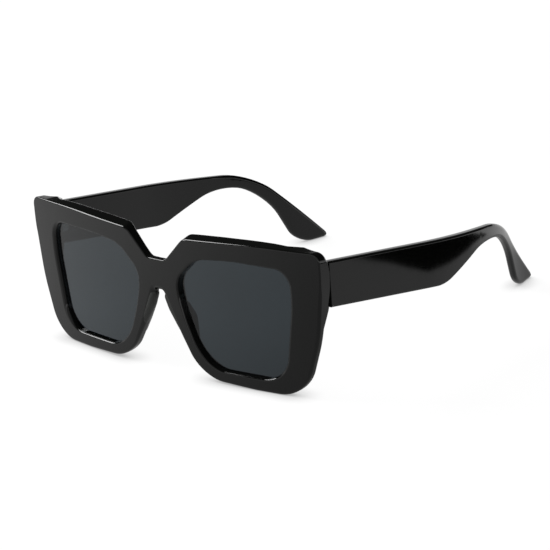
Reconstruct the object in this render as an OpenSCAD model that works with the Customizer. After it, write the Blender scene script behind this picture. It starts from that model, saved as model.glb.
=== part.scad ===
// Square sunglasses: a wrapped front with two lenses, bonded nose pads, and two
// hinged temples whose ends drop to the surface that the glasses stand on.
// Millimetres. The front faces -Y, the temples run back along +Y, and the
// wearer's left is +X. The origin is under the middle of the whole object, on
// the surface that it stands on.

/* [Front] */
// Width over the front's outer corners
front_w = 144; // [132:1:156]
// Height of the front
front_h = 55; // [50:0.5:60]
// Radius of the front's face, seen from above
wrap_r = 328; // [290:2:400]
// Radius of the front's back, seen from above
back_r = 350; // [320:2:420]
// Depth of the front at the foot of its middle
foot_t = 4.8; // [4.6:0.1:5.6]
// Depth of the front at the top of its middle
brow_t = 4.9; // [4.7:0.1:6]
// Depth of the bridge at its middle
bridge_t = 4; // [3.6:0.1:4.6]
// Radius of the hollow behind the bridge
bridge_hollow_r = 40; // [24:1:60]
// Depth of the front's outer ends, at the joint with the temples
end_t = 5; // [4.7:0.01:6]

/* [Lenses] */
// Width of the rim outside a lens opening
rim_side_w = 12.8; // [11:0.1:16]
// Height of the rim above a lens opening
rim_brow_h = 8; // [6.5:0.1:11]
// Height of the rim below a lens opening
rim_foot_h = 4.9; // [4:0.1:6]
// Gap between the two openings
opening_gap = 19.6; // [19:0.1:23]
// Thickness of a lens
lens_t = 1.5; // [1.4:0.1:1.7]
// Distance from the front's face back to the lens
lens_recess = 1.9; // [1.3:0.1:2.1]
// Depth of the groove that holds a lens
groove_d = 0.9; // [0.6:0.1:1.1]
// Clearance all round a lens in its groove
lens_fit = 0.05; // [0.03:0.01:0.1]

/* [Nose pads] */
// Distance that a pad stands behind the rim
pad_reach = 5.7; // [4:0.1:6]
// Height of a pad
pad_h = 18; // [14:0.2:19]
// Height of a pad's foot above the surface
pad_z = 10.2; // [9:0.2:11]
// Radius of a pad's thickest part
pad_r = 1.9; // [1.5:0.1:2.2]

/* [Hinges] */
// Radius of a hinge barrel
barrel_r = 1.5; // [1.3:0.1:1.6]
// Number of knuckles in a hinge
knuckles = 5; // [3, 5, 7]
// Height of one knuckle
knuckle_h = 1.5; // [1:0.1:1.6]
// Gap between one knuckle and the next
knuckle_gap = 0.08; // [0.05:0.01:0.12]
// Gap between a barrel and the plastic round it
barrel_gap = 0.2; // [0.15:0.01:0.3]
// Radius of the pivot screw
pivot_r = 0.6; // [0.5:0.05:0.75]
// Running clearance round the pivot screw
pivot_fit = 0.05; // [0.03:0.01:0.08]
// Radius of the pivot screw's head
pivot_head_r = 1.2; // [1:0.05:1.4]
// Height of the pivot screw's head
pivot_head_h = 0.7; // [0.5:0.05:1]
// Thickness of a hinge plate
plate_t = 1; // [0.8:0.05:1.2]
// Width of the plate on the front
front_plate_w = 6.4; // [6:0.1:6.6]
// Length of the plate on the temple
temple_plate_l = 7.8; // [7:0.1:9]
// Height of a hinge plate
plate_h = 9; // [8.6:0.1:10]
// Clearance round a hinge plate in its pocket
plate_fit = 0.05; // [0.03:0.01:0.1]
// Radius of a fixing screw
fixing_r = 0.6; // [0.5:0.05:0.7]
// Radius of a fixing screw's head
fixing_head_r = 1; // [0.9:0.05:1.1]
// Height of a fixing screw's head
fixing_head_h = 0.5; // [0.4:0.05:0.6]
// Length of a fixing screw under its head
fixing_l = 2.2; // [1.8:0.1:2.4]
// Distance between a plate's two fixing screws
fixing_pitch = 6.2; // [6:0.1:6.6]
// Clearance round a fixing screw
fixing_fit = 0.03; // [0.02:0.01:0.05]

/* [Temples] */
// Distance from the joint back to the end of the tip
temple_reach = 138; // [125:0.5:145]
// Thickness of a temple at the joint
temple_t = 4; // [3.8:0.1:4.6]
// Thickness of a temple behind the ear
tip_t = 3.2; // [2.8:0.1:3.8]
// Height of a temple at the joint
temple_end_h = 16.6; // [15:0.1:18]
// Drop from the top of the front to the top of the temple
temple_drop = 5; // [4:0.1:6]
// Distance that a temple bows outwards before it curves in
temple_bow = 2.4; // [1:0.1:3.5]
// Distance that the tip curves back in
tip_in = 17; // [12:0.5:20]
// Gap between the front and the temple at the joint
joint_gap = 0.1; // [0.05:0.01:0.2]

/* [Core wires] */
// Height of the flat wire inside a temple
core_h = 2.2; // [1.6:0.1:2.4]
// Thickness of the flat wire inside a temple
core_t = 1.2; // [0.8:0.1:1.4]
// Clearance round the wire in its channel
core_fit = 0.05; // [0.03:0.01:0.1]
// Distance from the joint to the front end of the wire
core_start = 1.2; // [0.8:0.1:2]

/* [Hidden] */
wall_facets = 720;
round_facets = 48;
pad_facets = 20;
fillet_step = 8;
fillet_chord = 2.4;
overrun = 1;

half_w = front_w / 2;
opening_w = half_w - opening_gap / 2 - rim_side_w;
opening_h = front_h - rim_foot_h - rim_brow_h;
// From the front's middle back to the joint: the sweep of its face and its end.
joint_depth = wrap_r - sqrt(pow(wrap_r, 2) - pow(half_w, 2)) + end_t;
whole_depth = joint_depth + temple_reach;
front_y = -whole_depth / 2;
joint_y = front_y + joint_depth;

// Half of the front's outline from the bridge round to the nose arch: X as a
// share of half the width, Z and the corner's radius as shares of the height.
bridge_top_share = 0.782;
arch_share = 0.564;
rim_shares = [
    [0, bridge_top_share, 0], [0.063, bridge_top_share, 0.055], [0.2, 0.971, 0.109],
    [0.556, 1.003, 2.2], [1, 0.991, 0.065], [1, 0.764, 1.45], [0.968, 0.409, 0.91],
    [0.869, 0, 0.255], [0.583, 0, 0], [0.257, 0.016, 0.309], [0.117, 0.316, 1.09],
    [0.026, arch_share, 0.035], [0, arch_share, 0]
];
// A lens opening from its inner foot: X as a share of its width, Z and the
// corner's radius as shares of its height.
opening_shares = [
    [0.287, 0, 0.38], [0.915, 0, 0.25], [1, 0.693, 0.95], [0.996, 0.986, 0.167],
    [0.53, 1.01, 1.9], [0.192, 0.969, 0.286], [0, 0.764, 0.19], [0.004, 0.61, 0.476],
    [0.053, 0.419, 0.95], [0.138, 0.169, 0.38]
];
// A temple from the side: Y as a share of its reach, Z as a share of the
// height of its top at the joint, and the corner's radius as a share of that.
temple_shares = [
    [0.771, 0.688, 0.72], [1.013, 0, 0.033], [0.897, 0, 0.22],
    [0.813, 0.484, 0.6], [0.666, 0.664, 0.6], [0.438, 0.474, 0.36]
];
// A temple from above: the share of its bow, the share of its curve inwards,
// Y as a share of its reach, and the corner's radius as a share of its reach.
plan_shares = [
    [-0.015, 0, -0.007, 0], [1, 0, 0.48, 1.6], [0.4, 0.235, 0.719, 0.67],
    [0, 0.824, 0.906, 0.8], [0, 1.05, 1.029, 0]
];
// Where a temple starts to get thinner, and where it has stopped.
thinning_shares = [0.5, 0.8];
// The middle line of the core wire, as shares of the reach and the top's height.
core_shares = [[0.76, 0.654, 0.48], [0.925, 0.11, 0]];
core_end_share = 0.915;
// Balls that a nose pad is drawn over: X as a share of half the front's width,
// Y as a share of the pad's reach, Z as a share of its height, and radius as a
// share of its thickest.
pad_shares = [
    [0.094, 0.02, 0.9, 1], [0.139, 0.02, 0.84, 1], [0.144, 0.78, 0.81, 0.66],
    [0.156, 0.52, 0.9, 0.58], [0.19, 0.42, 0.3, 0.53], [0.197, -0.06, 0.08, 0.68]
];

temple_top = front_h - temple_drop;
temple_foot = temple_top - temple_end_h;
hinge_z = temple_top - temple_end_h / 2;
temple_mid = half_w - temple_t / 2;
temple_inner = half_w - temple_t;
pin_x = temple_inner - barrel_r - barrel_gap;
pin_y = joint_y + barrel_r + barrel_gap;
stack_h = knuckles * knuckle_h + (knuckles - 1) * knuckle_gap;
knuckle_pitch = knuckle_h + knuckle_gap;
// The web that joins a knuckle to its plate is this share of its barrel.
web_share = 0.6;
front_plate_x = pin_x + barrel_r - front_plate_w;
temple_plate_y = joint_y + plate_t;
// The fixing screws' middles, from the plates' free edges.
front_fixing_x = front_plate_x + fixing_head_r + plate_fit + barrel_gap;
temple_fixing_y = temple_plate_y + temple_plate_l - fixing_head_r - plate_t;
// The raised land that a front hinge is let into.
land_x = front_plate_x - plate_t / 2;
slot_w = pivot_r / 2;
slot_d = pivot_head_h / 2;
// How much deeper the front gets for each unit of height.
back_slope = (brow_t - foot_t) / front_h;

// The points of a rounded corner at p between the corners before and after.
function corner(before, p, after, r) =
    let (
        u = (before - p) / norm(before - p),
        v = (after - p) / norm(after - p),
        half = acos(max(-1, min(1, u * v))) / 2,
        room = min(norm(before - p), norm(after - p)) / 2,
        reach = min(r / tan(half), room),
        round_r = reach * tan(half),
        middle = p + (u + v) / norm(u + v) * round_r / sin(half),
        from = p + u * reach - middle,
        turn = 180 - 2 * half,
        side = sign(u[0] * v[1] - u[1] * v[0]),
        steps = max(ceil(turn / fillet_step), ceil(2 * reach / fillet_chord))
    )
    r == 0 ? [p] : [
        for (i = [0 : steps])
            let (a = -side * turn * i / steps)
            middle + [from[0] * cos(a) - from[1] * sin(a), from[0] * sin(a) + from[1] * cos(a)]
    ];

// A closed outline with its corners rounded; each row is [x, y, radius].
function rounded(rows) =
    let (n = len(rows), p = [for (row = rows) [row[0], row[1]]])
    [for (i = [0 : n - 1]) each corner(p[(i + n - 1) % n], p[i], p[(i + 1) % n], rows[i][2])];

// An open line with its inner corners rounded.
function rounded_line(rows) =
    let (n = len(rows), p = [for (row = rows) [row[0], row[1]]])
    [p[0], for (i = [1 : n - 2]) each corner(p[i - 1], p[i], p[i + 1], rows[i][2]), p[n - 1]];

// The unit normal on the right of the way from a to b.
function right_of(a, b) = [b[1] - a[1], a[0] - b[0]] / norm(b - a);

// A closed outline, drawn anticlockwise, moved outwards by d.
function grown(p, d) =
    let (n = len(p))
    [
        for (i = [0 : n - 1])
            let (
                m = right_of(p[(i + n - 1) % n], p[i]),
                k = right_of(p[i], p[(i + 1) % n]),
                s = m + k
            )
            p[i] + s * d / (s * k)
    ];

// A strip along an open line, with a half width for each of its points.
function strip(p, halves) =
    let (
        n = len(p),
        side = [
            for (i = [0 : n - 1])
                right_of(p[max(i - 1, 0)], p[min(i + 1, n - 1)])
        ]
    )
    concat(
        [for (i = [0 : n - 1]) p[i] + side[i] * halves[i]],
        [for (i = [n - 1 : -1 : 0]) p[i] - side[i] * halves[i]]
    );

function scaled(shares, width, height) =
    [for (s = shares) [s[0] * width, s[1] * height, s[2] * height]];

rim_half = let (
    rows = scaled(rim_shares, half_w, front_h),
    n = len(rows),
    p = [for (row = rows) [row[0], row[1]]]
) [for (i = [0 : n - 1]) each corner(p[max(i - 1, 0)], p[i], p[min(i + 1, n - 1)], rows[i][2])];
rim_outline = concat(rim_half, [for (i = [len(rim_half) - 2 : -1 : 1]) [-rim_half[i][0], rim_half[i][1]]]);
opening_outline = [
    for (p = rounded(scaled(opening_shares, opening_w, opening_h)))
        p + [opening_gap / 2, rim_foot_h]
];

// The middle line of a temple, seen from above, from the joint back.
plan_line = rounded_line([
    for (s = plan_shares)
        [temple_mid + s[0] * temple_bow - s[1] * tip_in, s[2] * temple_reach, s[3] * temple_reach]
]);

// The thickness of a temple at a distance behind the joint.
function thickness(y) = lookup(y, [
    [thinning_shares[0] * temple_reach, temple_t],
    [thinning_shares[1] * temple_reach, tip_t]
]);

// Shared shapes

// An outline in X and Z, carried right through the front along Y.
module through(outline) {
    translate([0, joint_y + overrun, 0])
        rotate([90, 0, 0])
            linear_extrude(joint_depth + 2 * overrun)
                polygon(outline);
}

// A drum that stands on its end, with its face a distance behind the front's.
module drum(depth) {
    translate([0, front_y + wrap_r, -overrun])
        cylinder(h = front_h + 2 * overrun, r = wrap_r - depth, $fn = wall_facets);
}

// The front's wall before its outline is cut: deeper at the brow than the foot.
module front_wall() {
    difference() {
        intersection() {
            drum(0);
            translate([-half_w - overrun, front_y - overrun, -overrun])
                cube([front_w + 2 * overrun, joint_depth + 2 * overrun, front_h + 2 * overrun]);
        }
        translate([0, front_y + foot_t + back_r, -overrun])
            cylinder(
                h = front_h + 2 * overrun, r1 = back_r + overrun * back_slope,
                r2 = back_r - (front_h + overrun) * back_slope, $fn = wall_facets
            );
        translate([0, front_y + bridge_t + bridge_hollow_r, -overrun])
            cylinder(h = front_h + 2 * overrun, r = bridge_hollow_r, $fn = round_facets);
    }
}

module mirrored() {
    mirror([1, 0, 0])
        children();
}

// A screw on Z with its head's top at zero and its point below.
module screw(r, head_r, head_h, length, grow) {
    translate([0, 0, -head_h - length - grow])
        cylinder(h = length + head_h + grow, r = r + grow, $fn = round_facets);
    translate([0, 0, -head_h])
        cylinder(h = head_h + grow, r = head_r + grow, $fn = round_facets);
}

// The two fixing screws of the left front hinge, or the holes for them.
module front_fixings(grow) {
    for (side = [-1, 1])
        translate([front_fixing_x, joint_y, hinge_z + side * fixing_pitch / 2])
            rotate([-90, 0, 0])
                screw(fixing_r, fixing_head_r, fixing_head_h, fixing_l, grow);
}

// The two fixing screws of the left temple hinge, or the holes for them.
module temple_fixings(grow) {
    for (side = [-1, 1])
        translate([temple_inner, temple_fixing_y, hinge_z + side * fixing_pitch / 2])
            rotate([0, -90, 0])
                screw(fixing_r, fixing_head_r, fixing_head_h, fixing_l, grow);
}

// The plate of the left front hinge, or its pocket.
module front_plate(grow) {
    translate([front_plate_x - grow, joint_y - plate_t - grow, hinge_z - plate_h / 2 - grow])
        cube([front_plate_w + 2 * grow, plate_t + 2 * grow, plate_h + 2 * grow]);
}

// The plate of the left temple hinge, or its pocket.
module temple_plate(grow) {
    translate([temple_inner - grow, temple_plate_y - grow, hinge_z - plate_h / 2 - grow])
        cube([plate_t + 2 * grow, temple_plate_l + 2 * grow, plate_h + 2 * grow]);
}

// The left hinge's knuckles from the first one given, every second one.
module barrel(first) {
    for (i = [first : 2 : knuckles - 1])
        translate([pin_x, pin_y, hinge_z - stack_h / 2 + i * knuckle_pitch])
            cylinder(h = knuckle_h, r = barrel_r, $fn = round_facets);
}

module pivot_bore() {
    translate([pin_x, pin_y, hinge_z - stack_h / 2 - overrun])
        cylinder(h = stack_h + 2 * overrun, r = pivot_r + pivot_fit, $fn = round_facets);
}

// A wall that follows the left temple's plan, with half widths along its line.
module temple_wall(halves) {
    translate([0, joint_y, -overrun])
        linear_extrude(front_h + 2 * overrun)
            polygon(strip(plan_line, halves));
}

// A side view of the left temple, in Y from the joint and Z, carried across X.
module across(outline) {
    translate([half_w + temple_bow + overrun, joint_y, 0])
        rotate([90, 0, -90])
            mirror([1, 0, 0])
                linear_extrude(half_w)
                    polygon(outline);
}

// The channel of the left core wire, or the wire itself.
module core(start, grow) {
    line = rounded_line([
        [-overrun, hinge_z, 0],
        each scaled(core_shares, temple_reach, temple_top)
    ]);
    intersection() {
        across(strip(line, [for (p = line) core_h / 2 + grow]));
        temple_wall([for (p = plan_line) core_t / 2 + grow]);
        translate([0, joint_y + start, 0])
            cube([front_w, core_end_share * temple_reach + grow - start, front_h]);
    }
}

// The pieces

// The front: both rims, the bridge and the end pieces, cut and milled as one.
module front_frame() {
    color("#2a2b29")
        difference() {
            union() {
                intersection() {
                    through(rim_outline);
                    front_wall();
                }
                intersection() {
                    through(rim_outline);
                    drum(0);
                    for (side = [-1, 1])
                        translate([side > 0 ? land_x : -half_w, joint_y - joint_depth / 2, temple_foot])
                            cube([half_w - land_x, joint_depth / 2, temple_end_h + temple_drop]);
                }
            }
            for (side = [0, 1])
                mirror([side, 0, 0]) {
                    through(opening_outline);
                    intersection() {
                        through(grown(opening_outline, groove_d));
                        difference() {
                            drum(lens_recess - lens_fit);
                            drum(lens_recess + lens_t + lens_fit);
                        }
                    }
                    front_plate(plate_fit);
                    front_fixings(fixing_fit);
                }
        }
}

module left_lens() {
    color("#3e4650")
        intersection() {
            through(grown(opening_outline, groove_d - lens_fit));
            difference() {
                drum(lens_recess);
                drum(lens_recess + lens_t);
            }
        }
}

// A pad bonded to the back of the rim, leaning out as the side of a nose does.
module left_nose_pad() {
    color("#4a4b49")
        difference() {
            hull()
                for (s = pad_shares)
                    translate([
                        s[0] * half_w,
                        front_y + foot_t + s[1] * pad_reach,
                        pad_z + s[2] * pad_h
                    ])
                        sphere(r = s[3] * pad_r, $fn = pad_facets);
            front_wall();
        }
}

module left_front_hinge() {
    color("#b9b9b6")
        difference() {
            union() {
                front_plate(0);
                barrel(0);
                for (i = [0 : 2 : knuckles - 1])
                    translate([
                        pin_x - barrel_r, joint_y - plate_t,
                        hinge_z - stack_h / 2 + i * knuckle_pitch
                    ])
                        cube([barrel_r * (1 + web_share), plate_t + pin_y - joint_y, knuckle_h]);
            }
            pivot_bore();
            front_fixings(fixing_fit);
        }
}

module left_temple_hinge() {
    color("#b9b9b6")
        difference() {
            union() {
                temple_plate(0);
                barrel(1);
                for (i = [1 : 2 : knuckles - 1])
                    translate([
                        pin_x, temple_plate_y,
                        hinge_z - stack_h / 2 + i * knuckle_pitch
                    ])
                        cube([
                            temple_inner + plate_t - pin_x,
                            pin_y + barrel_r - temple_plate_y,
                            knuckle_h
                        ]);
            }
            pivot_bore();
            temple_fixings(fixing_fit);
        }
}

module left_front_hinge_screws() {
    color("#8e8e8c")
        front_fixings(0);
}

module left_temple_hinge_screws() {
    color("#8e8e8c")
        temple_fixings(0);
}

// The screw that both halves of a hinge turn on, with a slot in its head.
module left_pivot_screw() {
    color("#9a9a98")
        translate([pin_x, pin_y, hinge_z + stack_h / 2 + pivot_head_h])
            difference() {
                screw(pivot_r, pivot_head_r, pivot_head_h, stack_h, 0);
                translate([-pivot_head_r - overrun, -slot_w / 2, -slot_d])
                    cube([2 * (pivot_head_r + overrun), slot_w, slot_d + overrun]);
            }
}

// A temple: a deep blade that narrows to the ear, and drops and curves in.
module left_temple() {
    side = concat(
        [[joint_gap, temple_foot, 0], [joint_gap, temple_top, 0]],
        scaled(temple_shares, temple_reach, temple_top)
    );
    color("#2a2b29")
        difference() {
            intersection() {
                across(rounded(side));
                temple_wall([for (p = plan_line) thickness(p[1]) / 2]);
            }
            temple_plate(plate_fit);
            temple_fixings(fixing_fit);
            core(-overrun, core_fit);
        }
}

// The flat steel wire that stiffens a temple and lets it be bent to fit.
module left_core_wire() {
    color("#a3a3a0")
        core(core_start, 0);
}

front_frame();
left_lens();
mirrored() left_lens();  // right_lens
left_nose_pad();
mirrored() left_nose_pad();  // right_nose_pad
left_front_hinge();
mirrored() left_front_hinge();  // right_front_hinge
left_front_hinge_screws();
mirrored() left_front_hinge_screws();  // right_front_hinge_screws
left_temple_hinge();
mirrored() left_temple_hinge();  // right_temple_hinge
left_temple_hinge_screws();
mirrored() left_temple_hinge_screws();  // right_temple_hinge_screws
left_pivot_screw();
mirrored() left_pivot_screw();  // right_pivot_screw
left_temple();
mirrored() left_temple();  // right_temple
left_core_wire();
mirrored() left_core_wire();  // right_core_wire
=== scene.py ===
import math

import bmesh
import bpy
from mathutils import Matrix, Vector
from mathutils.geometry import intersect_point_line


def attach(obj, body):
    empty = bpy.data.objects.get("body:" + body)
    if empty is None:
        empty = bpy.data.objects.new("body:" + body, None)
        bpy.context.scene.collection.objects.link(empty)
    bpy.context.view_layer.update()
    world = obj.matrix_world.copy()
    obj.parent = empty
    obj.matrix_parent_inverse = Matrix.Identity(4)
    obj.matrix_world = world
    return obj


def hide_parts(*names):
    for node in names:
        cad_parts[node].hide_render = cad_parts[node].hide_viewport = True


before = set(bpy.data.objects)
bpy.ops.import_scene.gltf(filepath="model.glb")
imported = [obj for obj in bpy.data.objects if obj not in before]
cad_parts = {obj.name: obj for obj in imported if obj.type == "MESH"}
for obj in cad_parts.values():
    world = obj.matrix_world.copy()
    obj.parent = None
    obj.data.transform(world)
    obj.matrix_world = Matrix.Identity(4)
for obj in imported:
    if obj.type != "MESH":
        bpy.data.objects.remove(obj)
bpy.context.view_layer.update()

# The camera looks at the front from the wearer's left, a little above it,
# through a long lens that is turned slightly clockwise.
MM = 0.001
camera_turn = math.radians(43.36)
camera_rise = math.radians(18.64)
camera_roll = math.radians(-4.41)
camera_distance = 897 * MM
camera_target = Vector((0, -13.5, 18.2)) * MM

bpy.ops.object.select_all(action="DESELECT")
bpy.ops.object.camera_add()
camera = bpy.context.object
camera.data.sensor_width = 36
camera.data.lens = 154.5
back = Vector((
    math.sin(camera_turn) * math.cos(camera_rise),
    -math.cos(camera_turn) * math.cos(camera_rise),
    math.sin(camera_rise),
))
level = Vector((math.cos(camera_turn), math.sin(camera_turn), 0))
plumb = back.cross(level)
right = math.cos(camera_roll) * level + math.sin(camera_roll) * plumb
up = -math.sin(camera_roll) * level + math.cos(camera_roll) * plumb
camera.matrix_world = Matrix.Translation(camera_target + back * camera_distance) @ (
    Matrix((right, up, back)).transposed().to_4x4()
)
bpy.context.scene.camera = camera

# The front is one piece of black acetate: sawn from thick sheet with its two
# openings, wrapped in a press, thickened at the ends where the hinges sit, and
# tumbled until its edges are round and its faces shine.
# Sizes here and below are in millimetres, and an outline is a list of corners
# with their place in X and Z and their radius.
same_place = 0.001 * MM
front_y = -75.5
joint_depth = 13
wrap_r = 328
back_r = 350
foot_t = 4.8
back_slope = 0.1 / 54
bridge_t = 4
bridge_hollow_r = 40
blank_t = 10
temple_foot_z = 33.4
degrees_a_step = 6
longest_step = 3
rim_corners = [
    (0, 42.98, 0), (4.5, 42.98, 3), (14, 52.5, 5), (46, 54.3, 200),
    (72, 54.2, 3.6), (72, 42, 80), (69.7, 22.5, 50), (62.6, 0, 14),
    (42, 0, 0), (18.5, 0.9, 17), (8.4, 17.4, 60), (1.9, 31, 1.9), (0, 31, 0),
]
opening_corners = [
    (24, 4.9, 16), (55, 4.9, 10.5), (59.2, 34, 40), (59, 46.3, 7), (36, 47.3, 80),
    (19.3, 45.6, 12), (9.8, 37, 8), (10, 30.5, 20), (12.4, 22.5, 40), (16.6, 12, 16),
]


def take(piece):
    """Selects one piece and nothing else."""
    bpy.ops.object.select_all(action="DESELECT")
    bpy.context.view_layer.objects.active = piece
    piece.select_set(True)


def select(piece, mode, test):
    """Selects what passes a test among a piece's vertices, edges or faces."""
    bpy.ops.mesh.select_mode(type=mode)
    bpy.ops.mesh.select_all(action="DESELECT")
    mesh = bmesh.from_edit_mesh(piece.data)
    for item in {"VERT": mesh.verts, "EDGE": mesh.edges, "FACE": mesh.faces}[mode]:
        if test(item):
            item.select_set(True)
    bmesh.update_edit_mesh(piece.data)


def middle(item):
    """The middle of an edge or a face, in millimetres."""
    return sum((v.co for v in item.verts), Vector()) / len(item.verts) / MM


def cut_plate(name, corners, depth):
    """A plate in X and Z, from Y zero back, with its outline's corners rounded."""
    bpy.ops.object.select_all(action="DESELECT")
    bpy.ops.mesh.primitive_circle_add(
        vertices=len(corners), radius=MM, fill_type="NGON", location=(0, 0, 0)
    )
    plate = bpy.context.object
    plate.name = name
    bpy.ops.object.mode_set(mode="EDIT")
    bpy.ops.mesh.select_mode(type="VERT")
    for index, (x, z, _) in enumerate(corners):
        bpy.ops.mesh.select_all(action="DESELECT")
        mesh = bmesh.from_edit_mesh(plate.data)
        mesh.verts.ensure_lookup_table()
        corner = mesh.verts[index]
        corner.select_set(True)
        bpy.ops.transform.translate(value=Vector((x, 0, z)) * MM - corner.co)
    count = len(corners)
    for index, (x, z, radius) in enumerate(corners):
        if not radius:
            continue
        here = Vector((x, z))
        before = Vector(corners[index - 1][:2]) - here
        after = Vector(corners[(index + 1) % count][:2]) - here
        half = before.angle(after) / 2
        reach = min(radius / math.tan(half), before.length / 2, after.length / 2)
        turn = math.degrees(math.pi - 2 * half)
        place = Vector((x, 0, z)) * MM
        steps = max(2, math.ceil(turn / degrees_a_step), math.ceil(2 * reach / longest_step))
        select(plate, "VERT", lambda v: (v.co - place).length < same_place)
        bpy.ops.mesh.bevel(
            offset_type="OFFSET", offset=reach * MM, affect="VERTICES",
            segments=steps, profile=0.5,
        )
    bpy.ops.mesh.select_all(action="SELECT")
    bpy.ops.mesh.remove_doubles(threshold=0.01 * MM)
    bpy.ops.mesh.extrude_region_move(
        TRANSFORM_OT_translate={"value": (0, depth * MM, 0)}
    )
    bpy.ops.mesh.select_all(action="SELECT")
    bpy.ops.mesh.normals_make_consistent(inside=False)
    bpy.ops.object.mode_set(mode="OBJECT")
    return plate


def finish_with(piece, kind, **settings):
    """Adds a modifier to a piece and applies it."""
    take(piece)
    bpy.ops.object.modifier_add(type=kind)
    modifier = piece.modifiers[-1]
    for key, value in settings.items():
        setattr(modifier, key, value)
    bpy.ops.object.modifier_apply(modifier=modifier.name)


def cut_away(piece, cutter):
    """Takes a cutter out of a piece, and removes the cutter."""
    finish_with(piece, "BOOLEAN", operation="DIFFERENCE", solver="EXACT", object=cutter)
    bpy.data.objects.remove(cutter)


def edit(piece):
    """Opens a piece for editing, with nothing else selected."""
    take(piece)
    bpy.ops.object.mode_set(mode="EDIT")


def slice_at(places, axis):
    """Cuts the open piece right through at each place along an axis."""
    for place in places:
        bpy.ops.mesh.select_all(action="SELECT")
        bpy.ops.mesh.bisect(plane_co=axis * place * MM, plane_no=axis)


def polish(piece):
    """Shades a piece smooth, with its large faces deciding how light turns."""
    take(piece)
    bpy.ops.object.shade_smooth()
    finish_with(piece, "WEIGHTED_NORMAL", mode="FACE_AREA", weight=50, keep_sharp=False)


front = cut_plate("front", rim_corners, blank_t)
opening = cut_plate("opening", opening_corners, 3 * blank_t)
edit(opening)
bpy.ops.mesh.select_all(action="SELECT")
bpy.ops.transform.translate(value=(0, -blank_t * MM, 0))
bpy.ops.object.mode_set(mode="OBJECT")
cut_away(front, opening)
edit(front)
select(front, "FACE", lambda f: all(abs(v.co.x) < same_place for v in f.verts))
bpy.ops.mesh.delete(type="ONLY_FACE")
bpy.ops.object.mode_set(mode="OBJECT")
finish_with(
    front, "MIRROR", use_axis=(True, False, False), use_clip=True, merge_threshold=1e-5
)

# The edges: all are rounded alike, then drawn back to their own radius: small
# along the brow, larger beside the nose, next to none where the temples meet.
# The walls beside the hinge lands are first cut where the lands swell.
widest_round = 2.2
opening_round = 1.6
joint_round = 0.12
outer_wall_x = 66
opening_inner_x = 9
arch_half_w = 18
arch_top_z = 33
land_foot_z = 26
land_steps = (land_foot_z, 28, 29.5, 30.5, 31.5, 32.3, 33, 33.35, temple_foot_z)
edit(front)
bpy.ops.mesh.select_all(action="SELECT")
bpy.ops.mesh.normals_make_consistent(inside=False)
for z in land_steps:
    select(front, "FACE", lambda f: abs(middle(f).x) > outer_wall_x and abs(f.normal.y) < 0.5)
    bpy.ops.mesh.bisect(plane_co=(0, 0, z * MM), plane_no=(0, 0, 1))


def is_sharp(edge):
    """Whether an edge's two faces meet nearly square."""
    faces = edge.link_faces
    return len(faces) == 2 and abs(faces[0].normal.dot(faces[1].normal)) < 0.5


def is_corner(edge, y):
    """Whether an edge runs round the outline or an opening at a depth."""
    return is_sharp(edge) and all(abs(v.co.y - y * MM) <= same_place for v in edge.verts)


def is_outer(edge):
    """Whether an edge lies on the outline: its wall turns away from the opening's middle."""
    spot = middle(edge)
    wall = min(edge.link_faces, key=lambda face: abs(face.normal.y)).normal
    opening_middle = Vector((math.copysign(35, spot.x), 0, 26))
    return abs(spot.x) < opening_inner_x or wall.dot(opening_middle - spot) < 0


def ease(share):
    """Goes from 0 to 1 with a soft start and end."""
    share = min(1, max(0, share))
    return share * share * (3 - 2 * share)


def face_round(x, z, outer):
    """The radius at the face: it grows outwards in an opening and up the arch."""
    if not outer:
        return 0.7 + 0.9 * ease((x - 46) / 12)
    if x < arch_half_w and z < arch_top_z:
        return 1 + 1.1 * min(1, max(0, (z - 9) / 13))
    return 1 - 0.45 * ease((z - 38) / 5)


def back_round(x, z, outer):
    """The radius at the back: it fades up the side, where the temple's land is flat."""
    if not outer:
        return 0.5
    if x < arch_half_w and z < arch_top_z:
        return 1.5
    brow = 0.9 + 0.9 * (1 - ease((x - 9) / 8)) + 1.2 * ease((x - 60) / 8)
    if x > 60:
        side = max(joint_round, 1.8 - 0.25 * max(0, z - land_foot_z))
        return side + (brow - side) * ease((z - 49) / 3)
    return 1.8 + (brow - 1.8) * ease((z - 40) / 2)


mesh = bmesh.from_edit_mesh(front.data)
round_share = mesh.edges.layers.float.new("bevel_weight_edge")
walls = []
for edge in mesh.edges:
    at_face = is_corner(edge, 0)
    if at_face or is_corner(edge, blank_t):
        outer = is_outer(edge)
        edge[round_share] = 1 if outer else opening_round / widest_round
        if at_face:
            walls.append((edge.verts[0].co / MM, edge.verts[1].co / MM, outer))
bmesh.update_edit_mesh(front.data)
bpy.ops.object.mode_set(mode="OBJECT")
finish_with(
    front, "BEVEL", width=widest_round * MM, segments=8, limit_method="WEIGHT",
    use_clamp_overlap=False, affect="EDGES",
)
edit(front)
mesh = bmesh.from_edit_mesh(front.data)
for v in mesh.verts:
    at_face = v.co.y / MM < blank_t / 2
    radius = face_round if at_face else back_round
    flat = Vector((v.co.x / MM, 0, v.co.z / MM))
    nearest = None
    for start, end, outer in walls:
        foot, along = intersect_point_line(flat, start, end)
        foot = start if along < 0 else end if along > 1 else foot
        gap = (foot - flat).length_squared
        if nearest is None or gap < nearest[0]:
            nearest = gap, foot, outer
    gap, foot, outer = nearest
    share = radius(abs(foot.x), foot.z, outer) / (widest_round if outer else opening_round)
    foot = foot + Vector((0, 0 if at_face else blank_t, 0))
    v.co = (foot + (v.co / MM - foot) * share) * MM
bmesh.update_edit_mesh(front.data)
bpy.ops.object.mode_set(mode="OBJECT")

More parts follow.
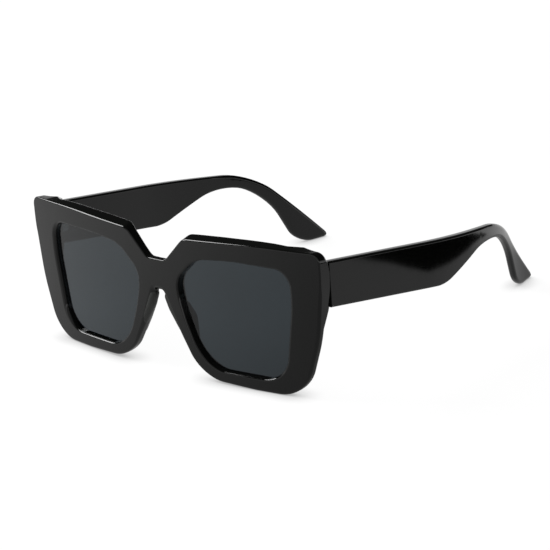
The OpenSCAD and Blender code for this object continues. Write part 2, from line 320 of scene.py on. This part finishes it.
# The wrap: the flat blank is cut into narrow strips, closest round the notch, and
# each of its corners moved back to where the drum's face, or the milled back, lies.
# The back is thinner beside the rims' foot and the notch, and swells at the lands.
land_inner_x = 58.4
land_ramp = 2.6
land_cuts = (land_inner_x, 59.2, 59.7, 60.2, 60.6, land_inner_x + land_ramp)
rim_thinning = 0.6
rim_thinning_reach = 9
brow_lift = 1.25
edit(front)
strips = [0.8, 1.6, 2.6, 3.6, 4.4, 6.2, 7.2, 8, 13, 15.5]
strips += [18 + 2.8 * step for step in range(15)]
strips += [62, 63.5, 65.5, 67.5]
slice_at([-place for place in strips] + [0] + strips, Vector((1, 0, 0)))
for x in land_cuts:
    for side in (-1, 1):
        select(front, "FACE", lambda f: f.normal.y > 0.9 and abs(middle(f).x - side * 60) < 8)
        bpy.ops.mesh.bisect(plane_co=(side * x * MM, 0, 0), plane_no=(1, 0, 0))
for z in land_steps:
    select(front, "FACE", lambda f: f.normal.y > 0.9 and abs(middle(f).x) > 58)
    bpy.ops.mesh.bisect(plane_co=(0, 0, z * MM), plane_no=(0, 0, 1))


def sweep(x, radius):
    """How far back a drum's wall lies at a distance from its middle."""
    return radius - math.sqrt(radius**2 - x**2)


def edge_gap(x, z):
    """How far a point lies from the outline's lower part."""
    here = Vector((abs(x), z))
    line = [Vector(corner[:2]) for corner in rim_corners[5:12]]
    gaps = []
    for start, end in zip(line, line[1:]):
        along = min(1, max(0, (here - start).dot(end - start) / (end - start).length_squared))
        gaps.append((here - start - (end - start) * along).length)
    return min(gaps)


def depth_at(x, z):
    """How deep the front is behind its middle: back, thinned rims, hollow and lands."""
    far = abs(x)
    deep = foot_t + back_slope * z + sweep(x, back_r - back_slope * z)
    low = 1 - ease((z - 24) / 8 if far > 20 else (z - 27) / 5)
    rim = (1 - ease(edge_gap(x, z) / rim_thinning_reach)) * low
    notch = (1 - ease((far - 12) / 8)) * ease((z - 38) / 5)
    deep -= rim_thinning * max(rim, notch)
    if far < bridge_hollow_r:
        deep = min(deep, bridge_t + sweep(x, bridge_hollow_r))
    ramp = min(1, max(0, (z - land_foot_z) / 7.5))
    rise = 1 if z > temple_foot_z - 0.01 else 0.62 * ramp**2.2
    land = ease((far - land_inner_x) / land_ramp) * rise
    return deep + (joint_depth - deep) * land


def brow_rise(x, z):
    """How much higher the brow is filed at its back than at its face."""
    far = abs(x)
    if far < 30:
        top = brow_lift * ease((far - 9) / 6)
    else:
        top = brow_lift - 0.95 * min(1, (far - 30) / 36) - 1.1 * ease((far - 56) / 12)
    return top * ease((z - 48) / 4.5)


mesh = bmesh.from_edit_mesh(front.data)
for v in mesh.verts:
    x, y, z = v.co / MM
    if y < blank_t / 2:
        z += brow_rise(x, z) * min(1, y / foot_t)
        y += sweep(x, wrap_r)
    else:
        z += brow_rise(x, z) * min(1, (foot_t + y - blank_t) / foot_t)
        y += depth_at(x, z) - blank_t
    v.co = Vector((x, front_y + y, z)) * MM
bmesh.update_edit_mesh(front.data)
bpy.ops.object.mode_set(mode="OBJECT")
polish(front)


def linear(hex_colour):
    """An sRGB hex colour as linear values with full alpha."""
    parts = [int(hex_colour[i:i + 2], 16) / 255 for i in (1, 3, 5)]
    return [p / 12.92 if p <= 0.04045 else ((p + 0.055) / 1.055) ** 2.4 for p in parts] + [1]


def add_node(material, kind, settings=None, links=None):
    """Adds a node with its settings, and links its inputs from other nodes' outputs."""
    tree = material.node_tree
    node = tree.nodes.new(kind)
    for key, value in (settings or {}).items():
        if isinstance(key, int) or key in node.inputs:
            node.inputs[key].default_value = value
        else:
            setattr(node, key, value)
    for key, source in (links or {}).items():
        tree.links.new(source, node.inputs[key])
    return node


def new_material(name):
    """An empty material with its output, ready for nodes."""
    material = bpy.data.materials.new(name)
    material.use_nodes = True
    material.node_tree.nodes.clear()
    return material


def coat(piece, material):
    """Gives a piece one material all over."""
    piece.data.materials.clear()
    piece.data.materials.append(material)


# Black cellulose acetate, tumble polished: a near-black body under a shine that
# is broken by faint waves left by the polishing and a dusting of fine marks.
acetate = new_material("polished_acetate")
place = add_node(acetate, "ShaderNodeTexCoord")
waves = add_node(
    acetate, "ShaderNodeTexNoise", {"Scale": 1 / (22 * MM), "Detail": 1.0, "Roughness": 0.4},
    {"Vector": place.outputs["Object"]},
)
marks = add_node(
    acetate, "ShaderNodeTexNoise", {"Scale": 1 / (1.4 * MM), "Detail": 3.0, "Roughness": 0.6},
    {"Vector": place.outputs["Object"]},
)
shine = add_node(
    acetate, "ShaderNodeMapRange",
    {"From Min": 0.3, "From Max": 0.7, "To Min": 0.06, "To Max": 0.1},
    {"Value": marks.outputs["Fac"]},
)
body_colour = add_node(
    acetate, "ShaderNodeMix",
    {"data_type": "RGBA", 6: linear("#0b0c0b"), 7: linear("#141513")},
    {"Factor": waves.outputs["Fac"]},
)
ripple = add_node(
    acetate, "ShaderNodeBump", {"Strength": 0.25, "Distance": 0.3 * MM},
    {"Height": waves.outputs["Fac"]},
)
skin = add_node(
    acetate, "ShaderNodeBsdfPrincipled", {"IOR": 1.5},
    {"Base Color": body_colour.outputs[2], "Roughness": shine.outputs["Result"],
     "Normal": ripple.outputs["Normal"]},
)
add_node(acetate, "ShaderNodeOutputMaterial", None, {"Surface": skin.outputs["BSDF"]})

coat(front, acetate)
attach(front, "front")
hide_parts("front_frame")

# Each lens is a smoke-tinted plastic sheet, pressed to the front's curve and
# snapped into a groove round its opening, so its edge lies inside the rim. It is
# clear and glossy, and dark enough that what lies behind it shows only dimly.
lens_recess = 1.9
lens_t = 1.5
lens_edge_round = 0.2
lens_corners = [
    (23.7, 4.05, 17), (55.5, 4.05, 11.4), (60.1, 34, 41), (59.9, 47.1, 7.9), (36, 48.2, 80),
    (19, 46.5, 13), (8.9, 37.4, 9), (9.1, 30.3, 21), (11.5, 22.2, 41), (15.8, 11.5, 17),
]

tint = new_material("smoke_lens")
place = add_node(tint, "ShaderNodeTexCoord")
haze = add_node(
    tint, "ShaderNodeTexNoise", {"Scale": 1 / (30 * MM), "Detail": 1.0},
    {"Vector": place.outputs["Object"]},
)
depth = add_node(
    tint, "ShaderNodeMix",
    {"data_type": "RGBA", 6: linear("#3e464b"), 7: linear("#434d53")},
    {"Factor": haze.outputs["Fac"]},
)
glass = add_node(
    tint, "ShaderNodeBsdfPrincipled",
    {"IOR": 1.5, "Roughness": 0.02, "Transmission Weight": 1.0},
    {"Base Color": depth.outputs[2]},
)
add_node(tint, "ShaderNodeOutputMaterial", None, {"Surface": glass.outputs["BSDF"]})


def mirror_copy(piece, name):
    """A copy of a left-hand piece for the right-hand side, with a mesh of its own."""
    take(piece)
    bpy.ops.object.duplicate()
    other = bpy.context.object
    other.name = name
    edit(other)
    bpy.ops.mesh.select_all(action="SELECT")
    bpy.ops.transform.mirror(constraint_axis=(True, False, False), center_override=(0, 0, 0))
    bpy.ops.mesh.select_all(action="SELECT")
    bpy.ops.mesh.normals_make_consistent(inside=False)
    bpy.ops.object.mode_set(mode="OBJECT")
    return other


left_lens = cut_plate("left_lens_sheet", lens_corners, lens_t)
edit(left_lens)
select(left_lens, "EDGE", lambda e: is_corner(e, 0) or is_corner(e, lens_t))
bpy.ops.mesh.bevel(
    offset=lens_edge_round * MM, segments=2, profile=0.5, affect="EDGES", clamp_overlap=False
)
slice_at([11 + 2 * step for step in range(25)], Vector((1, 0, 0)))
mesh = bmesh.from_edit_mesh(left_lens.data)
for v in mesh.verts:
    v.co.y += (front_y + lens_recess + sweep(v.co.x / MM, wrap_r)) * MM
bmesh.update_edit_mesh(left_lens.data)
bpy.ops.object.mode_set(mode="OBJECT")
right_lens = mirror_copy(left_lens, "right_lens_sheet")
for side, lens in (("left", left_lens), ("right", right_lens)):
    polish(lens)
    coat(lens, tint)
    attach(lens, "front")
    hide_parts(side + "_lens")

# Each nose pad is a small leaning lug of the same plastic, bonded behind the
# rim and buffed by hand, so it is duller than the front. It is drawn over balls
# with their place in X, behind the front's foot and in Z, and their radius.
pad_grain = 0.3
pad_balls = [
    (3.9, -2.8, 28.9, 1.9), (5.6, -2.8, 25, 1.95), (8.6, -2.9, 20, 1.75), (10, -3, 17.5, 1.5),
    (11.5, -3.1, 15, 1.2), (13, -3.2, 13, 1), (10.4, -0.3, 26.2, 1.4), (11.6, 1.8, 21.6, 1.2),
    (12.2, 1.6, 17, 1.1), (13.9, 0, 12.2, 1.1),
]

matt = new_material("buffed_acetate_painted_light")
place = add_node(matt, "ShaderNodeTexCoord")
scratches = add_node(
    matt, "ShaderNodeTexNoise", {"Scale": 1 / (0.8 * MM), "Detail": 4.0, "Roughness": 0.65},
    {"Vector": place.outputs["Object"]},
)
dullness = add_node(
    matt, "ShaderNodeMapRange",
    {"From Min": 0.3, "From Max": 0.7, "To Min": 0.3, "To Max": 0.42},
    {"Value": scratches.outputs["Fac"]},
)
buffing = add_node(
    matt, "ShaderNodeBump", {"Strength": 0.2, "Distance": 0.05 * MM},
    {"Height": scratches.outputs["Fac"]},
)
# Its base colour is painted a lighter grey than the front's black, on the same plastic: painted
# light for the light its faces catch.
lug = add_node(
    matt, "ShaderNodeBsdfPrincipled", {"Base Color": linear("#393b38"), "IOR": 1.5},
    {"Roughness": dullness.outputs["Result"], "Normal": buffing.outputs["Normal"]},
)
add_node(matt, "ShaderNodeOutputMaterial", None, {"Surface": lug.outputs["BSDF"]})

bpy.ops.object.select_all(action="DESELECT")
balls = []
for x, y, z, radius in pad_balls:
    bpy.ops.mesh.primitive_ico_sphere_add(
        subdivisions=4, radius=radius * MM,
        location=(x * MM, (front_y + foot_t + y) * MM, z * MM),
    )
    balls.append(bpy.context.object)
for ball in balls:
    ball.select_set(True)
bpy.ops.object.join()
left_pad = bpy.context.object
left_pad.name = "left_pad"
bpy.ops.object.transform_apply(location=True, rotation=True, scale=True)
edit(left_pad)
bpy.ops.mesh.select_all(action="SELECT")
bpy.ops.mesh.convex_hull()
bpy.ops.object.mode_set(mode="OBJECT")
finish_with(left_pad, "REMESH", mode="VOXEL", voxel_size=pad_grain * MM)
finish_with(left_pad, "SMOOTH", factor=0.5, iterations=16)
right_pad = mirror_copy(left_pad, "right_pad")
for side, pad in (("left", left_pad), ("right", right_pad)):
    take(pad)
    bpy.ops.object.shade_smooth()
    coat(pad, matt)
    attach(pad, "front")
    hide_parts(side + "_nose_pad")

# Each temple is a blade of the same acetate round a flat steel core: sawn to
# its outline, tumbled, then bent in plan so that its tip hugs the head.
temple_t = 4
tip_thinning = 0.2
thinning_start = 70
thinning_length = 40
blade_round = 0.7
tip_round = 1.6
rounding_start = 80
rounding_length = 30
joint_y = front_y + joint_depth
temple_corners = [
    (0.1, 33.4, 0), (0.1, 50, 0), (106.4, 34.4, 36), (139.8, 0, 1.65),
    (123.8, 0, 11), (112.2, 24.2, 30), (91.9, 33.2, 30), (60.5, 23.7, 18),
]
# The plan of its middle, as distance behind the joint, place and radius.
plan_corners = [(0, 70, 0), (66.3, 72.4, 220), (99.2, 67, 92), (125, 56, 110), (142, 52.15, 0)]


def round_line(corners, steps=12):
    """An open line's points, with its inner corners rounded."""
    points = [Vector(corners[0][:2])]
    for before, here, after in zip(corners, corners[1:], corners[2:]):
        place = Vector(here[:2])
        back = Vector(before[:2]) - place
        on = Vector(after[:2]) - place
        half = back.angle(on) / 2
        reach = min(here[2] / math.tan(half), back.length / 2, on.length / 2)
        start, end = place + back.normalized() * reach, place + on.normalized() * reach
        for step in range(steps + 1):
            t = step / steps
            points.append(start * (1 - t) ** 2 + place * 2 * t * (1 - t) + end * t**2)
    return points + [Vector(corners[-1][:2])]


plan = round_line(plan_corners)


def plan_at(s):
    """The middle of the temple in plan at a distance, and how steeply it runs."""
    for start, end in zip(plan, plan[1:]):
        if s <= end.x + same_place:
            slope = (end.y - start.y) / (end.x - start.x)
            return start.y + (s - start.x) * slope, slope
    return plan[-1].y, slope


left_blade = cut_plate("left_blade", temple_corners, temple_t)
edit(left_blade)
mesh = bmesh.from_edit_mesh(left_blade.data)
round_share = mesh.edges.layers.float.new("bevel_weight_edge")
for edge in mesh.edges:
    s = middle(edge).x
    if s < 0.2:
        edge[round_share] = joint_round / widest_round
    elif is_corner(edge, 0) or is_corner(edge, temple_t):
        grown = ease((s - rounding_start) / rounding_length)
        edge[round_share] = (blade_round + (tip_round - blade_round) * grown) / widest_round
bmesh.update_edit_mesh(left_blade.data)
bpy.ops.object.mode_set(mode="OBJECT")
finish_with(
    left_blade, "BEVEL", width=widest_round * MM, segments=5, limit_method="WEIGHT",
    use_clamp_overlap=False, affect="EDGES",
)
edit(left_blade)
slice_at([2.5 * step for step in range(1, 34)], Vector((1, 0, 0)))
slice_at([84 + 1.4 * step for step in range(40)], Vector((1, 0, 0)))
mesh = bmesh.from_edit_mesh(left_blade.data)
for v in mesh.verts:
    s, across, z = v.co / MM
    x, slope = plan_at(s)
    along = min(1, max(0, (s - thinning_start) / thinning_length))
    half_t = (temple_t / 2 - across) * (1 - tip_thinning * along)
    x += half_t * math.sqrt(1 + slope**2)
    v.co = Vector((x, joint_y + s, z)) * MM
bmesh.update_edit_mesh(left_blade.data)
bpy.ops.mesh.select_all(action="SELECT")
bpy.ops.mesh.normals_make_consistent(inside=False)
bpy.ops.object.mode_set(mode="OBJECT")
right_blade = mirror_copy(left_blade, "right_blade")
for side, blade in (("left", left_blade), ("right", right_blade)):
    polish(blade)
    coat(blade, acetate)
    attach(blade, side + "_arm")
    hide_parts(side + "_temple")

# The hinges and their screws are stainless steel, stamped and turned, then drawn
# over a fine belt that leaves a soft, streaked shine. Its scratches are coarser
# than real ones so that they show. The core wires lie hidden in the temples.
steel = new_material("brushed_steel")
place = add_node(steel, "ShaderNodeTexCoord")
stretch = add_node(
    steel, "ShaderNodeMapping", {"Scale": (1, 1, 0.08)}, {"Vector": place.outputs["Object"]},
)
grain = add_node(
    steel, "ShaderNodeTexNoise", {"Scale": 1 / (0.12 * MM), "Detail": 2.0},
    {"Vector": stretch.outputs["Vector"]},
)
belt = add_node(
    steel, "ShaderNodeMapRange",
    {"From Min": 0.3, "From Max": 0.7, "To Min": 0.25, "To Max": 0.4},
    {"Value": grain.outputs["Fac"]},
)
metal = add_node(
    steel, "ShaderNodeBsdfPrincipled", {"Base Color": linear("#c3c3bf"), "Metallic": 1.0},
    {"Roughness": belt.outputs["Result"]},
)
add_node(steel, "ShaderNodeOutputMaterial", None, {"Surface": metal.outputs["BSDF"]})
for name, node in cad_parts.items():
    if "hinge" in name or "screw" in name or "wire" in name:
        coat(node, steel)

# The surface is a plain white sheet. It stays white behind the glasses and keeps
# their real soft shadow in its dull layer, with a painted contact shadow where they rest on it.
# In their polish it shows a painted reflection: it fades to the right in front of them,
# brightens behind them, and is painted dark past the left temple's rear.
bpy.ops.object.select_all(action="DESELECT")
bpy.ops.mesh.primitive_plane_add(size=6)
sheet = bpy.context.object
sheet.name = "sheet"
paper = new_material("white_sheet")
ray = add_node(paper, "ShaderNodeLightPath")
seen = add_node(
    paper, "ShaderNodeMath", {"operation": "MAXIMUM"},
    {0: ray.outputs["Is Camera Ray"], 1: ray.outputs["Is Transmission Ray"]},
)
white = add_node(paper, "ShaderNodeBsdfDiffuse", {"Color": linear("#e6e6e6")})
pale = add_node(paper, "ShaderNodeBsdfDiffuse", {"Color": linear("#5a5a5a")})
# Painted contact shadow: near the glasses, ambient occlusion dims the sheet's white glow.
painted_shadow_occlusion = add_node(paper, "ShaderNodeAmbientOcclusion", {"Distance": 9 * MM, "samples": 16})
near = add_node(
    paper, "ShaderNodeMapRange",
    {"From Min": 0.2, "From Max": 0.9, "To Min": 0.42, "To Max": 0.97},
    {"Value": painted_shadow_occlusion.outputs["AO"]},
)
glow = add_node(
    paper, "ShaderNodeEmission", {"Color": (1, 1, 1, 1)}, {"Strength": near.outputs["Result"]}
)
both = add_node(paper, "ShaderNodeAddShader", None, {0: pale.outputs[0], 1: glow.outputs[0]})
look = add_node(
    paper, "ShaderNodeMixShader", None,
    {0: seen.outputs[0], 1: white.outputs[0], 2: both.outputs[0]},
)
place = add_node(paper, "ShaderNodeTexCoord")
axes = add_node(paper, "ShaderNodeSeparateXYZ", None, {"Vector": place.outputs["Object"]})


def fade(source, start, end, first, last):
    """Goes softly from one strength to another along an axis of the sheet, in millimetres."""
    return add_node(
        paper, "ShaderNodeMapRange",
        {"interpolation_type": "SMOOTHSTEP", "From Min": start * MM, "From Max": end * MM,
         "To Min": first, "To Max": last},
        {"Value": source},
    ).outputs["Result"]


def blend(kind, first, second, third=0.0):
    """One sum or product of strengths."""
    values = {0: first, 1: second, 2: third}
    return add_node(
        paper, "ShaderNodeMath",
        {"operation": kind} | {k: v for k, v in values.items() if isinstance(v, float)},
        {k: v for k, v in values.items() if not isinstance(v, float)},
    ).outputs[0]


# A painted reflection: in the polish, the sheet's strength runs from left to right in front of
# the glasses, and from near to far behind them, with a painted dark patch past the left temple's
# rear.
before = fade(axes.outputs["X"], -170, 110, 0.66, 0.3)
behind = fade(axes.outputs["Y"], -60, 0, 0.0, 1.0)
far = fade(axes.outputs["Y"], 100, 135, 0.46, 1.0)
slant = blend("MULTIPLY_ADD", axes.outputs["Y"], 0.5, axes.outputs["X"])
# A painted dark patch in the sheet's reflection, past the left temple's rear.
painted_dark_corner = blend(
    "MULTIPLY", fade(slant, 162, 167, 0.0, 1.0), fade(axes.outputs["Y"], 52, 57, 0.0, 1.0)
)
painted_dark_corner = blend("MULTIPLY", painted_dark_corner, fade(axes.outputs["Y"], 127, 133, 1.0, 0.0))
front_part = blend("MULTIPLY", before, blend("SUBTRACT", 1.0, behind))
strength = blend("MULTIPLY_ADD", far, behind, front_part)
strength = blend("MULTIPLY", strength, blend("SUBTRACT", 1.0, painted_dark_corner))
# The sheet's painted reflection: a glow that only the polish sees.
painted_reflection_glow = add_node(paper, "ShaderNodeEmission", {"Color": (1, 1, 1, 1)}, {"Strength": strength})
look = add_node(
    paper, "ShaderNodeMixShader", None,
    {0: ray.outputs["Is Glossy Ray"], 1: look.outputs[0], 2: painted_reflection_glow.outputs[0]},
)
add_node(paper, "ShaderNodeOutputMaterial", None, {"Surface": look.outputs[0]})
coat(sheet, paper)

# Soft studio light: one softbox high on the left of the picture, in a dim room
# whose white horizon and pale right-hand wall show in the polish, with dark
# above them.
world = bpy.data.worlds.new("room")
bpy.context.scene.world = world
world.use_nodes = True
world.node_tree.nodes.clear()
ray = add_node(world, "ShaderNodeLightPath")
shown = add_node(
    world, "ShaderNodeMath", {"operation": "MAXIMUM"},
    {0: ray.outputs["Is Camera Ray"], 1: ray.outputs["Is Transmission Ray"]},
)
room_light = add_node(world, "ShaderNodeBackground", {"Color": (1, 1, 1, 1), "Strength": 0.12})
way = add_node(world, "ShaderNodeTexCoord")
height = add_node(world, "ShaderNodeSeparateXYZ", None, {"Vector": way.outputs["Generated"]})
horizon = add_node(
    world, "ShaderNodeMapRange",
    {"interpolation_type": "SMOOTHSTEP", "From Min": 0.03, "From Max": 0.2,
     "To Min": 0.9, "To Max": 0.03},
    {"Value": height.outputs["Z"]},
)
toward = add_node(
    world, "ShaderNodeVectorMath", {"operation": "DOT_PRODUCT", 1: (0.5, -0.8, 0)},
    {0: way.outputs["Generated"]},
)
fill = add_node(
    world, "ShaderNodeMapRange",
    {"interpolation_type": "SMOOTHSTEP", "From Min": 0.15, "From Max": 0.6,
     "To Min": 0.0, "To Max": 0.34},
    {"Value": toward.outputs["Value"]},
)
polish_strength = add_node(
    world, "ShaderNodeMath", {"operation": "ADD"},
    {0: horizon.outputs["Result"], 1: fill.outputs["Result"]},
)
polish_room = add_node(
    world, "ShaderNodeBackground", {"Color": (1, 1, 1, 1)},
    {"Strength": polish_strength.outputs[0]},
)
white_room = add_node(world, "ShaderNodeBackground", {"Color": (1, 1, 1, 1), "Strength": 1.0})
choice = add_node(
    world, "ShaderNodeMixShader", None,
    {0: shown.outputs[0], 1: room_light.outputs[0], 2: white_room.outputs[0]},
)
choice = add_node(
    world, "ShaderNodeMixShader", None,
    {0: ray.outputs["Is Glossy Ray"], 1: choice.outputs[0], 2: polish_room.outputs[0]},
)
add_node(world, "ShaderNodeOutputWorld", None, {"Surface": choice.outputs[0]})


def softbox(name, direction, distance, size, power):
    """A square lamp that faces the glasses from a direction."""
    bpy.ops.object.light_add(type="AREA")
    lamp = bpy.context.object
    lamp.name = name
    lamp.data.size = size
    lamp.data.energy = power
    away = Vector(direction).normalized()
    turned = away.to_track_quat("Z", "Y").to_matrix().to_4x4()
    lamp.matrix_world = Matrix.Translation(away * distance) @ turned


softbox("key_softbox", direction=(-0.75, -0.25, 0.62), distance=1.2, size=0.6, power=10)

bpy.context.scene.view_settings.view_transform = "Standard"
